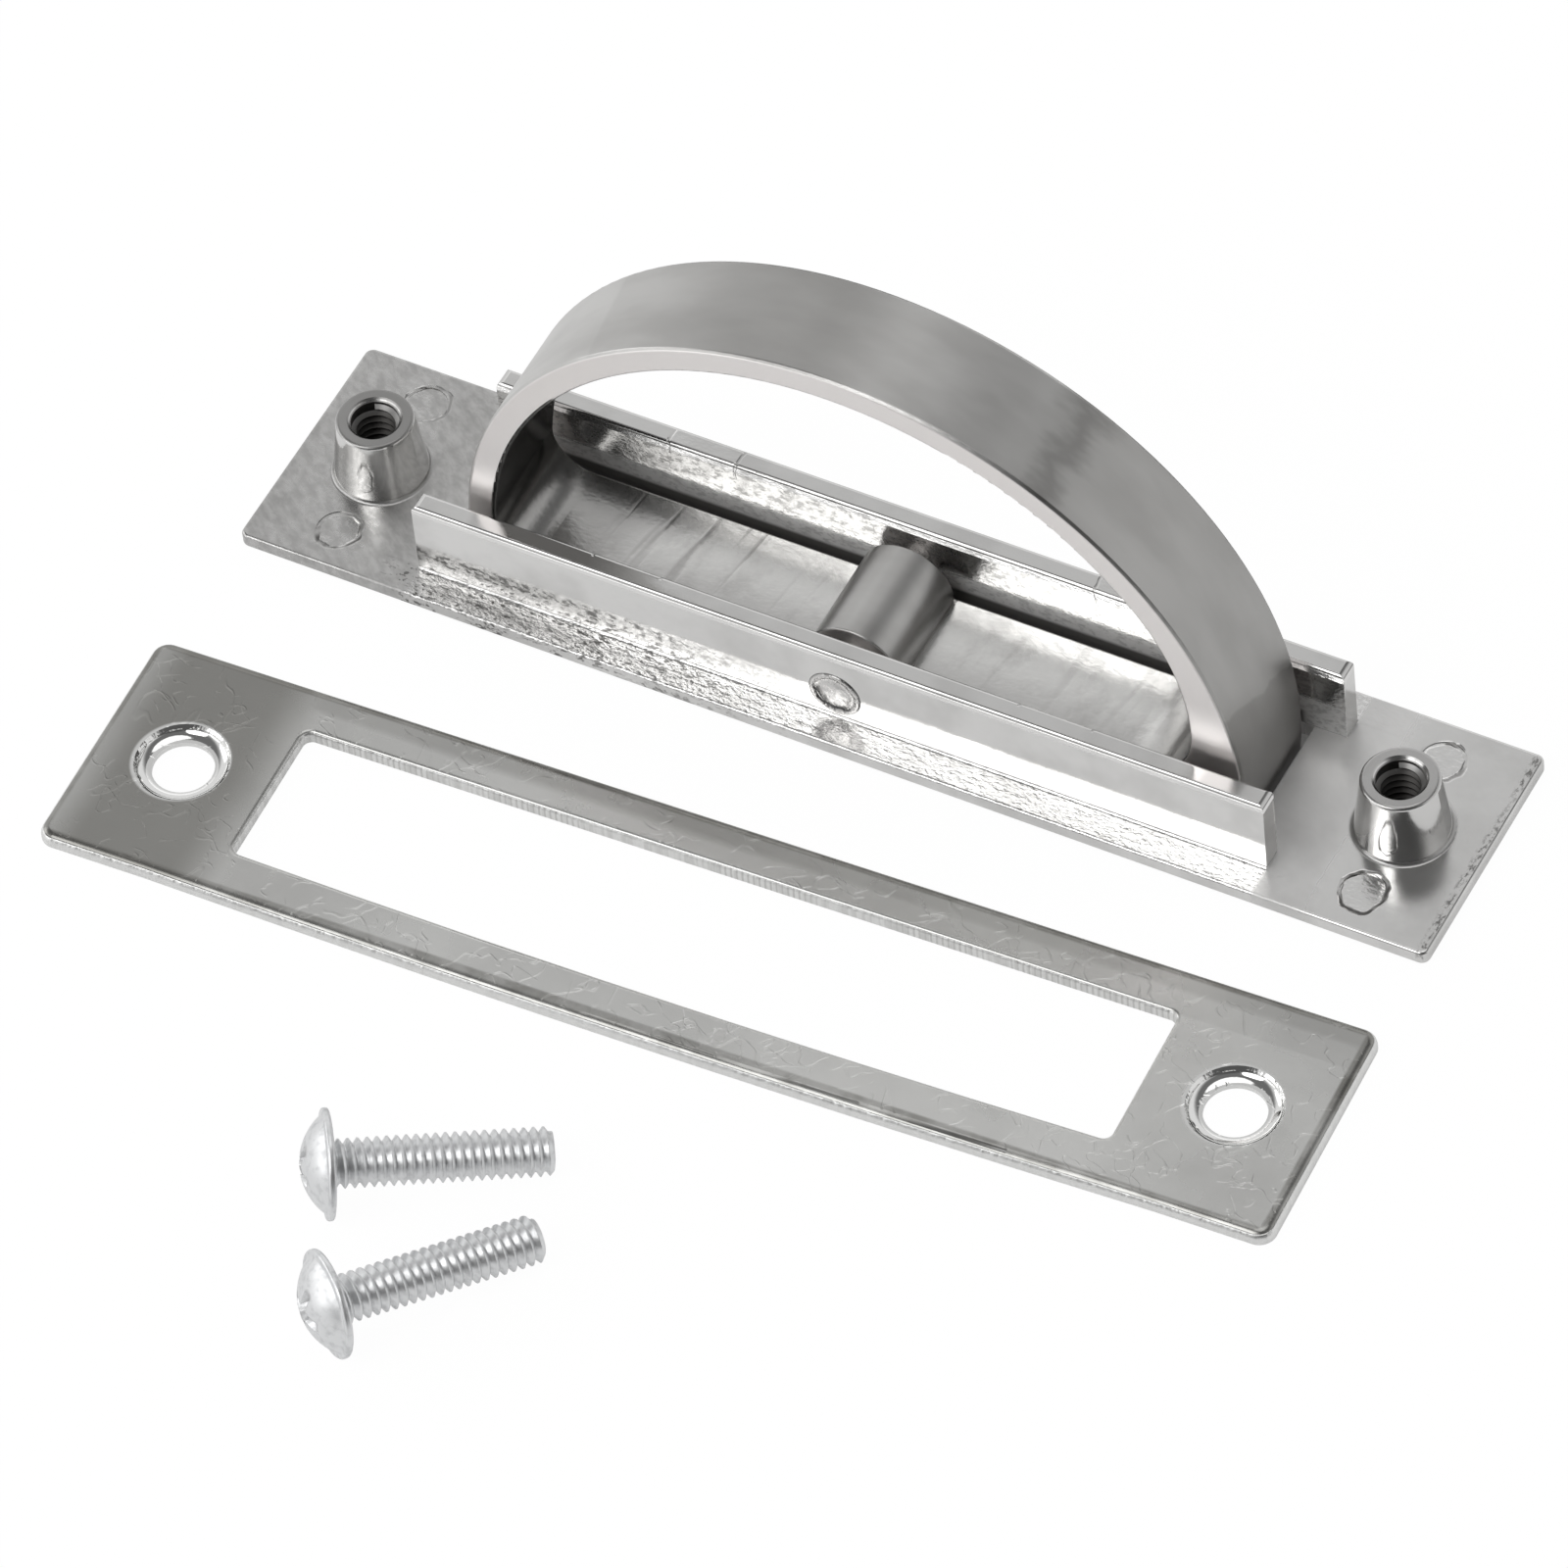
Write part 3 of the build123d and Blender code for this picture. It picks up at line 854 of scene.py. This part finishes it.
class StampedPlate(Sheet):
    """Satin plate steel: scratched on top, painted shade on its rolled shoulders, pale where sheared.
    """

    name = Slot.STAMPED_PLATE.value
    colour: Colour = (0.62, 0.62, 0.605)
    worn: Colour = (0.70, 0.70, 0.685)
    dark: Colour = (0.22, 0.215, 0.20)
    cut: Colour = (0.84, 0.84, 0.83)
    tooth: float = 0.52 * MM
    middle: float = -33.28 * MM
    heading: float = 2.15
    half_length: float = 56.05 * MM
    half_width: float = 11.45 * MM
    hole_place: float = 48.0 * MM
    dimple_radius: float = 4.1 * MM
    scratch_depth: float = 0.014 * MM
    grain_depth: float = 0.002 * MM
    shear_depth: float = 0.10 * MM

    def make(self) -> bpy.types.Material:
        """Makes the material."""
        heading = math.radians(self.heading)
        shift = (-self.middle * math.sin(heading), -self.middle * math.cos(heading), 0.0)
        x, y, _ = self.axes(self.stretched((1.0, 1.0, 1.0), -heading, shift))
        along = self.size(x)
        steep = self.size(self.axes(self.facing)[2])
        sheared = self.span(steep, 0.78, 0.68)
        rim = self.most(
            self.span(along, self.half_length - 1.1 * MM, self.half_length - 0.8 * MM),
            self.span(self.size(y), self.half_width - 1.1 * MM, self.half_width - 0.8 * MM),
        )
        from_hole = self.reach(self.minus(along, self.hole_place), y)
        dimple = self.span(from_hole, self.dimple_radius, self.dimple_radius + 0.3 * MM, 1.0, 0.0)
        shear = self.grain((1300.0, 1300.0, 60.0), 0.0, 2.0, 0.6)
        scratches = self.times(self.scratches(), self.span(steep, 0.95, 0.99))
        grain = self.grain((3500.0, 3500.0, 3500.0), 0.0, 2.0, 0.6)
        normal = self.relief(scratches, -self.scratch_depth)
        normal = self.relief(grain, self.grain_depth, normal)
        normal = self.relief(self.times(shear, sheared), self.shear_depth, normal)
        patch = self.noise(self.place, 60.0, 5.0, 0.6)
        colour = self.tint(self.span(patch, 0.35, 0.7), self.colour, self.worn)
        colour = self.tint(self.tarnish(x, y), colour, self.dark)
        # Painted shade on the rolled shoulders, left off their sheared faces.
        shoulder = self.times(rim, self.rest(sheared))
        colour = self.tint(self.times(shoulder, self.shoulder_shade(y)), colour, self.dark)
        colour = self.tint(self.most(sheared, dimple), colour, self.cut)
        notches = self.most(self.span(shear, 0.45, 0.6, 0.03, 0.22), self.teeth(x, y))
        notches = self.times(sheared, notches, self.rest(dimple))
        notches = self.blend(rim, notches, self.times(notches, 0.3))
        colour = self.tint(notches, colour, self.dark)
        roughness = self.blend(sheared, self.span(patch, 0.3, 0.7, 0.22, 0.32), 0.36)
        return self.finish(colour, self.blend(dimple, roughness, 0.08), normal)

    def shoulder_shade(self, y: Socket) -> Socket:
        """Says how dark the painted shade on the rolled shoulders is, in patches, a little darker
        along the far side.

        Args:
            y: The place across the plate.

        Returns:
            The share of painted shade.
        """
        worn = self.span(self.noise(self.place, 420.0, 3.0), 0.3, 0.7, 0.75, 0.4)
        return self.plus(worn, self.span(y, 0.0, 5.0 * MM, 0.0, 0.2))

    def tarnish(self, x: Socket, y: Socket) -> Socket:
        """Darkens the left end and the far rail's outer half.

        Args:
            x: The place along the plate.
            y: The place across it.

        Returns:
            The share of tarnish.
        """
        left = self.times(
            self.span(x, -37.0 * MM, -44.0 * MM, 0.0, 0.8),
            self.span(x, -56.0 * MM, -52.0 * MM, 0.4, 1.0),
        )
        outer = self.span(y, 8.2 * MM, 9.6 * MM, 0.0, 0.45)
        rail = self.times(
            self.span(y, 6.5 * MM, 7.0 * MM), self.span(x, -4.0 * MM, 14.0 * MM, 0.06, 0.24)
        )
        tip = self.span(x, 37.0 * MM, 44.0 * MM, 0.0, 0.13)
        slope = self.span(x, -18.0 * MM, -38.0 * MM, 0.0, 0.2)
        return self.most(left, outer, rail, self.most(tip, slope))

    def teeth(self, x: Socket, y: Socket) -> Socket:
        """Draws the even shear marks along the window's far cut, fading here and there.

        Args:
            x: The place along the plate.
            y: The place across it.

        Returns:
            The share of dark between the marks.
        """
        wave = self.step("SINE", self.times(x, math.tau / self.tooth))
        wave = self.span(wave, 0.0, 0.8, 0.0, 0.34)
        there = self.span(self.noise(self.place, 70.0, 1.0), 0.38, 0.5, 0.15, 1.0)
        far = self.times(self.span(y, 5.8 * MM, 6.3 * MM), self.span(y, 8.2 * MM, 7.6 * MM))
        return self.times(wave, there, far)

    def scratches(self) -> Socket:
        """Draws short, fine, curling scratches where slow patterns cross their middle."""
        lines = []
        for scale, turn in ((260.0, 0.0), (380.0, 0.9), (520.0, 2.1)):
            slow = self.grain((scale, scale * 0.6, scale), turn, 1.0)
            line = self.span(self.gap(slow, 0.5), 0.002, 0.014, 1.0, 0.0)
            shift = (0.3 * turn, 0.1, 0.0)
            kept = self.noise(self.stretched((200.0, 200.0, 200.0), turn + 0.4, shift))
            lines.append(self.times(line, self.span(kept, 0.49, 0.55)))
        return self.most(*lines)


class ZincScrew(Sheet):
    """Bright bluish zinc."""

    name = Slot.ZINC_SCREW.value
    colour: Colour = (0.82, 0.828, 0.835)
    shade: Colour = (0.68, 0.688, 0.695)
    skin_depth: float = 0.006 * MM

    def make(self) -> bpy.types.Material:
        """Makes the material."""
        skin = self.noise(self.place, 1500.0, 3.0)
        normal = self.relief(skin, self.skin_depth)
        colour = self.tint(self.span(skin, 0.45, 0.75), self.colour, self.shade)
        return self.finish(colour, self.span(skin, 0.3, 0.7, 0.34, 0.46), normal)


def new_piece(
    name: str, shape: bmesh.types.BMesh, material: bpy.types.Material
) -> bpy.types.Object:
    """Makes a bmesh an object with soft shading and sharp creases.

    Args:
        name: The piece's name.
        shape: The finished form, freed here.
        material: Its finish.

    Returns:
        The new object.
    """
    mesh = bpy.data.meshes.new(name)
    for face in shape.faces:
        face.smooth = True
    shape.to_mesh(mesh)
    shape.free()
    mesh.set_sharp_from_angle(angle=math.radians(32))
    mesh.materials.append(material)
    piece = bpy.data.objects.new(name, mesh)
    bpy.context.scene.collection.objects.link(piece)
    return piece


def spin(
    shape: bmesh.types.BMesh,
    outline: list[Pair],
    angle: float,
    steps: int,
    climb: float = 0.0,
    closed: bool = False,
) -> None:
    """Turns an outline round Z into faces.

    Args:
        shape: The form that gets them.
        outline: Pairs of radius and height, one after the other.
        angle: How far it turns in radians.
        steps: In how many steps.
        climb: How far each step climbs.
        closed: Whether the last step joins the first.
    """
    verts = [shape.verts.new((radius, 0.0, height)) for radius, height in outline]
    edges = [shape.edges.new(pair) for pair in zip(verts, verts[1:])]
    bmesh.ops.spin(
        shape,
        geom=verts + edges,
        cent=NOWHERE,
        axis=(0.0, 0.0, 1.0),
        dvec=(0.0, 0.0, climb),
        angle=angle,
        steps=steps,
        use_merge=closed,
        use_duplicate=False,
    )


def close_ends(shape: bmesh.types.BMesh) -> None:
    """Fills the open ends of a form."""
    open_edges = [edge for edge in shape.edges if edge.is_boundary]
    bmesh.ops.holes_fill(shape, edges=open_edges, sides=0)


@dataclass(frozen=True)
class Thread:
    """One screw thread: a V-shaped ridge wound round an axis along Z."""

    pitch: float = 25.4 / 32 * MM
    crest_flat: float = 0.09 * MM
    root_flat: float = 0.12 * MM
    steps: int = 36

    def ridge(self, base: float, crest: float) -> list[Pair]:
        """Gives the ridge's outline, from its base over its crest and back.

        Args:
            base: The radius of its foot.
            crest: The radius of its crest.

        Returns:
            Pairs of radius and height.
        """
        flank = (self.pitch - self.crest_flat - self.root_flat) / 2
        top = flank + self.crest_flat
        return [(base, 0.0), (crest, flank), (crest, top), (base, 2.0 * flank + self.crest_flat)]

    def wind(
        self, shape: bmesh.types.BMesh, outline: list[Pair], start: float, length: float
    ) -> None:
        """Winds an outline up the axis.

        Args:
            shape: The form that gets the thread.
            outline: Pairs of radius and height, one after the other.
            start: The height of the outline's first turn.
            length: How far the thread climbs.
        """
        steps = math.ceil(length / self.pitch * self.steps)
        raised = [(radius, start + height) for radius, height in outline]
        spin(shape, raised, math.tau * steps / self.steps, steps, self.pitch / self.steps)
        bmesh.ops.remove_doubles(shape, verts=shape.verts, dist=WELD)


@dataclass
class FixingScrew:
    """A flange-head screw on its side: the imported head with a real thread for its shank."""

    node: Node
    x: float
    y: float
    heading: float
    crest_radius: float = 2.05 * MM
    root_radius: float = 1.63 * MM
    length: float = 18.0 * MM
    point_chamfer: float = 0.4 * MM
    head_radius: float = 4.6 * MM
    head_edge: float = 0.25 * MM
    neck: float = 0.02 * MM
    thread: Thread = Thread()

    def place(self) -> Matrix:
        """The turn and shift from the screw's own axes to where it lies on rim and point."""
        tilt = math.atan2(self.head_radius - self.crest_radius, self.length)
        edge = self.head_edge
        height = (self.head_radius - edge) * math.cos(tilt) - edge * math.sin(tilt) + edge
        turn = Matrix.Rotation(self.heading, 4, "Z") @ Matrix.Rotation(math.pi / 2 + tilt, 4, "Y")
        return Matrix.Translation((self.x, self.y, height)) @ turn

    def head(self, place: Matrix) -> bmesh.types.BMesh:
        """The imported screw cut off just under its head, in the screw's own axes."""
        shape = bmesh.new()
        shape.from_mesh(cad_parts[self.node.value].data)
        bmesh.ops.remove_doubles(shape, verts=shape.verts, dist=WELD)
        bmesh.ops.transform(shape, matrix=place.inverted(), verts=shape.verts)
        self.cut(shape, self.neck, 1.0)
        return shape

    def cut(self, shape: bmesh.types.BMesh, height: float, side: float) -> None:
        """Cuts a form square to the axis and closes the cut.

        Args:
            shape: The form.
            height: Where the cut is.
            side: 1 to keep what lies below it, -1 to keep what lies above.
        """
        bmesh.ops.bisect_plane(
            shape,
            geom=shape.verts[:] + shape.edges[:] + shape.faces[:],
            dist=0.1 * WELD,
            plane_co=(0.0, 0.0, height),
            plane_no=(0.0, 0.0, side),
            clear_outer=True,
        )
        close_ends(shape)

    def shank(self) -> bmesh.types.BMesh:
        """The threaded shank, closed at both ends and bevelled at its point."""
        ridge = self.thread.ridge(self.root_radius, self.crest_radius)
        shape = bmesh.new()
        below = 2.0 * self.thread.pitch
        outline = [*ridge, (self.root_radius, self.thread.pitch)]
        self.thread.wind(shape, outline, -below, self.length + 2.0 * below)
        for vert in shape.verts:
            over = vert.co.z - (self.length - self.point_chamfer)
            reach = vert.co.xy.length
            limit = self.crest_radius - max(over, 0.0)
            if reach > limit:
                vert.co.xy *= limit / reach
        self.cut(shape, self.length, 1.0)
        self.cut(shape, -self.thread.pitch / 2, -1.0)
        bmesh.ops.recalc_face_normals(shape, faces=shape.faces)
        return shape

    def build(self, material: bpy.types.Material) -> bpy.types.Object:
        """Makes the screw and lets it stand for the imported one.

        Args:
            material: The screw's finish.

        Returns:
            The new screw.
        """
        place = self.place()
        shape = self.head(place)
        shank = self.shank()
        joined = bpy.data.meshes.new("shank")
        shank.to_mesh(joined)
        shank.free()
        shape.from_mesh(joined)
        bpy.data.meshes.remove(joined)
        bmesh.ops.transform(shape, matrix=place, verts=shape.verts)
        piece = new_piece(f"{self.node.value}_threaded", shape, material)
        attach(piece, Body.STILL.value)
        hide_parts(self.node.value)
        return piece


@dataclass
class PostThread:
    """The thread cut in one post, a ridge wound down the inside of its blind hole."""

    name: str
    x: float
    bore_radius: float = 2.08 * MM
    crest_radius: float = 1.70 * MM
    buried: float = 0.08 * MM
    floor: float = 1.5 * MM
    mouth: float = 7.3 * MM
    thread: Thread = Thread()

    def build(self, material: bpy.types.Material) -> bpy.types.Object:
        """Makes the ridge.

        Args:
            material: The post's finish.

        Returns:
            The new piece.
        """
        wall = self.bore_radius + self.buried
        shape = bmesh.new()
        outline = [*self.thread.ridge(wall, self.crest_radius), (wall, 0.0)]
        climb = self.mouth - self.floor - self.thread.pitch
        self.thread.wind(shape, outline, self.floor, climb)
        close_ends(shape)
        bmesh.ops.recalc_face_normals(shape, faces=shape.faces)
        bmesh.ops.translate(shape, vec=(self.x, 0.0, 0.0), verts=shape.verts)
        piece = new_piece(self.name, shape, material)
        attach(piece, Body.STILL.value)
        return piece


@dataclass
class RivetHead:
    """One end of the pin, hammered over: a low button inside a raised ring."""

    name: str
    side: float
    wall_face: float = 8.50 * MM
    height: float = 4.2 * MM
    steps: int = 64
    unevenness: float = 0.07 * MM
    blows: float = 900.0
    outline: tuple[Pair, ...] = (
        (0.0, 0.20),
        (0.45, 0.20),
        (0.9, 0.19),
        (1.3, 0.15),
        (1.6, 0.07),
        (1.75, 0.05),
        (1.9, 0.10),
        (2.05, 0.17),
        (2.2, 0.17),
        (2.34, 0.11),
        (2.4, 0.02),
        (2.4, -0.2),
    )

    def build(self, material: bpy.types.Material) -> bpy.types.Object:
        """Makes the head.

        Args:
            material: The pin's finish.

        Returns:
            The new piece.
        """
        shape = bmesh.new()
        outline = [(radius * MM, rise * MM) for radius, rise in self.outline]
        spin(shape, outline, math.tau, self.steps, closed=True)
        bmesh.ops.remove_doubles(shape, verts=shape.verts, dist=WELD)
        shift = Vector((self.side, 0.3, 0.0))
        for vert in shape.verts:
            if vert.co.z > 0.0:
                vert.co.z += self.unevenness * noise.noise(vert.co * self.blows + shift)
        close_ends(shape)
        bmesh.ops.recalc_face_normals(shape, faces=shape.faces)
        turn = Matrix.Rotation(-self.side * math.pi / 2, 4, "X")
        place = Matrix.Translation((0.0, self.side * self.wall_face, self.height)) @ turn
        bmesh.ops.transform(shape, matrix=place, verts=shape.verts)
        piece = new_piece(self.name, shape, material)
        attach(piece, Body.STILL.value)
        return piece


class Paper(Sheet):
    """The floor's paper, which glows a little, but not where the body's underside is."""

    name = "floor_paper"
    colour: tuple[float, ...] = (0.88, 0.88, 0.88, 1.0)
    glow: float = 1.02
    roughness: float = 0.9
    seen: float = 0.95
    mirrored: float = 0.35
    body_half_length: float = 46.0 * MM
    body_half_width: float = 8.5 * MM

    def make(self) -> bpy.types.Material:
        """Makes the material."""
        self.shader.inputs["Metallic"].default_value = 0.0
        self.shader.inputs["Roughness"].default_value = self.roughness
        self.shader.inputs["Base Color"].default_value = self.colour
        glow = self.add("ShaderNodeEmission")
        glow.inputs["Strength"].default_value = self.glow
        path = self.add("ShaderNodeLightPath")
        bare = self.most(
            self.span(self.along, self.body_half_length - MM, self.body_half_length),
            self.span(self.across, self.body_half_width - MM, self.body_half_width),
        )
        seen = self.times(path.outputs["Is Camera Ray"], self.seen)
        mirrored = self.times(path.outputs["Is Glossy Ray"], self.mirrored)
        share = self.times(self.plus(seen, mirrored), bare)
        self.show("Material Output", share, self.shader, glow)
        return self.material


@dataclass(frozen=True)
class Panel:
    """A soft round lamp: where it hangs, its radius and its face's brightness, where 1 is white."""

    name: str
    heading: float
    height: float
    distance: float
    radius: float
    radiance: float

    def place(self) -> Vector:
        """Its middle, from its heading and its height in degrees."""
        heading = math.radians(self.heading)
        height = math.radians(self.height)
        flat = math.cos(height) * self.distance
        up = math.sin(height) * self.distance
        return Vector((math.sin(heading) * flat, math.cos(heading) * flat, up))


@dataclass
class Studio:
    """A pale floor, a white surround and soft light, with the camera at the photograph's angle."""

    azimuth: float = -0.57391
    elevation: float = 0.88246
    roll: float = -0.11967
    distance: float = 1.00122
    target: Triple = (-0.001298, -0.015862, 0.0)
    lens: float = 277.56
    floor_reach: float = 6.0
    floor_drop: float = 0.01 * MM
    room_level: float = 0.80
    ceiling_level: float = 0.16
    ceiling_start: float = 0.55
    ceiling_end: float = 0.78
    doorway_heading: float = 148.0
    doorway_level: float = 0.12
    doorway_start: float = 0.45
    doorway_end: float = 0.75
    panels: tuple[Panel, ...] = (
        Panel("front_panel", 199.0, 49.5, 1.4, 0.43, 2.5),
        Panel("low_panel", 228.0, 20.0, 1.6, 0.50, 0.9),
        Panel("left_panel", 265.0, 22.0, 1.6, 0.42, 1.0),
        Panel("top_panel", 10.0, 82.0, 1.5, 0.50, 1.1),
        Panel("back_panel", 327.0, 51.0, 1.6, 0.52, 0.44),
    )

    def build(self) -> None:
        """Sets the camera, the floor, the lamps and the world."""
        self.camera()
        self.floor()
        for panel in self.panels:
            self.lamp(panel)
        self.world()
        bpy.context.scene.view_settings.view_transform = "Standard"

    def camera(self) -> None:
        """Places the camera and makes it the scene's."""
        data = bpy.data.cameras.new("camera")
        data.sensor_width = 36.0
        data.lens = self.lens
        data.clip_start = 0.05
        data.clip_end = 50.0
        flat = math.cos(self.elevation)
        ahead = Vector(
            (
                math.sin(self.azimuth) * flat,
                math.cos(self.azimuth) * flat,
                -math.sin(self.elevation),
            )
        )
        level = Vector((math.cos(self.azimuth), -math.sin(self.azimuth), 0.0))
        upright = level.cross(ahead)
        side = level * math.cos(self.roll) + upright * math.sin(self.roll)
        top = -level * math.sin(self.roll) + upright * math.cos(self.roll)
        turn = Matrix((side, top, -ahead)).transposed().to_4x4()
        camera = bpy.data.objects.new("camera", data)
        bpy.context.scene.collection.objects.link(camera)
        camera.matrix_world = Matrix.Translation(Vector(self.target) - ahead * self.distance) @ turn
        bpy.context.scene.camera = camera

    def floor(self) -> None:
        """Lays the floor that takes the shadow."""
        mesh = bpy.data.meshes.new("floor")
        shape = bmesh.new()
        bmesh.ops.create_grid(shape, x_segments=1, y_segments=1, size=self.floor_reach)
        bmesh.ops.translate(shape, vec=(0.0, 0.0, -self.floor_drop), verts=shape.verts)
        shape.to_mesh(mesh)
        shape.free()
        mesh.materials.append(Paper().make())
        floor = bpy.data.objects.new("floor", mesh)
        bpy.context.scene.collection.objects.link(floor)

    def lamp(self, panel: Panel) -> None:
        """Args:
            panel: Its place, size and brightness.
        """
        data = bpy.data.lights.new(panel.name, "AREA")
        data.shape = "DISK"
        data.size = 2.0 * panel.radius
        data.energy = panel.radiance * math.pi * math.pi * panel.radius**2
        lamp = bpy.data.objects.new(panel.name, data)
        bpy.context.scene.collection.objects.link(lamp)
        lamp.location = panel.place()
        lamp.rotation_mode = "QUATERNION"
        lamp.rotation_quaternion = panel.place().to_track_quat("Z", "Y")
        lamp.visible_camera = False

    def world(self) -> None:
        """Makes the surround: white to the camera, to the metal a grey room, dark overhead."""
        world = bpy.data.worlds.new("surround")
        bpy.context.scene.world = world
        world.use_nodes = True
        nodes = Nodes(world.node_tree)
        room = world.node_tree.nodes["Background"]
        white = nodes.add("ShaderNodeBackground")
        room.inputs["Color"].default_value = WHITE
        white.inputs["Color"].default_value = WHITE
        towards = nodes.add("ShaderNodeTexCoord").outputs["Generated"]
        height = nodes.axes(towards)[2]
        side = nodes.add("ShaderNodeVectorMath", operation="DOT_PRODUCT")
        nodes.feed(side.inputs[0], towards)
        heading = math.radians(self.doorway_heading)
        side.inputs[1].default_value = (math.sin(heading), math.cos(heading), 0.0)
        ceiling = nodes.span(
            height, self.ceiling_start, self.ceiling_end, self.room_level, self.ceiling_level
        )
        doorway = nodes.span(
            side.outputs["Value"], self.doorway_start, self.doorway_end, 1.0, self.doorway_level
        )
        nodes.feed(room.inputs["Strength"], nodes.times(ceiling, doorway))
        white.inputs["Strength"].default_value = 1.0
        path = nodes.add("ShaderNodeLightPath")
        nodes.show("World Output", path.outputs["Is Camera Ray"], room, white)


def main() -> None:
    """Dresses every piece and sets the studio."""
    logging.basicConfig(level=logging.INFO, format="%(message)s")
    casting = BrightCasting().make()
    zinc = ZincScrew().make()
    steel = PinSteel().make()
    finishes = {
        Node.FRONT_BODY: casting,
        Node.SWING_HANDLE: SatinCasting().make(),
        Node.PIVOT_PIN: steel,
        Node.BACK_PLATE: StampedPlate().make(),
        Node.SCREW_1: zinc,
        Node.SCREW_2: zinc,
    }
    for node, material in finishes.items():
        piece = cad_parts[node.value]
        piece.data.materials.clear()
        piece.data.materials.append(material)
        LOG.info("%s: %s", node.value, material.name)
    pieces = [
        FixingScrew(Node.SCREW_1, -14.45 * MM, -68.96 * MM, math.radians(34.8)).build(zinc),
        FixingScrew(Node.SCREW_2, -7.66 * MM, -81.16 * MM, math.radians(52.4)).build(zinc),
        PostThread("post_thread_left", -48.0 * MM).build(casting),
        PostThread("post_thread_right", 48.0 * MM).build(casting),
        RivetHead("rivet_head_near", -1.0).build(steel),
        RivetHead("rivet_head_far", 1.0).build(steel),
    ]
    for piece in pieces:
        LOG.info("%s: %d faces", piece.name, len(piece.data.polygons))
    Studio().build()


if __name__ == "__main__":
    main()
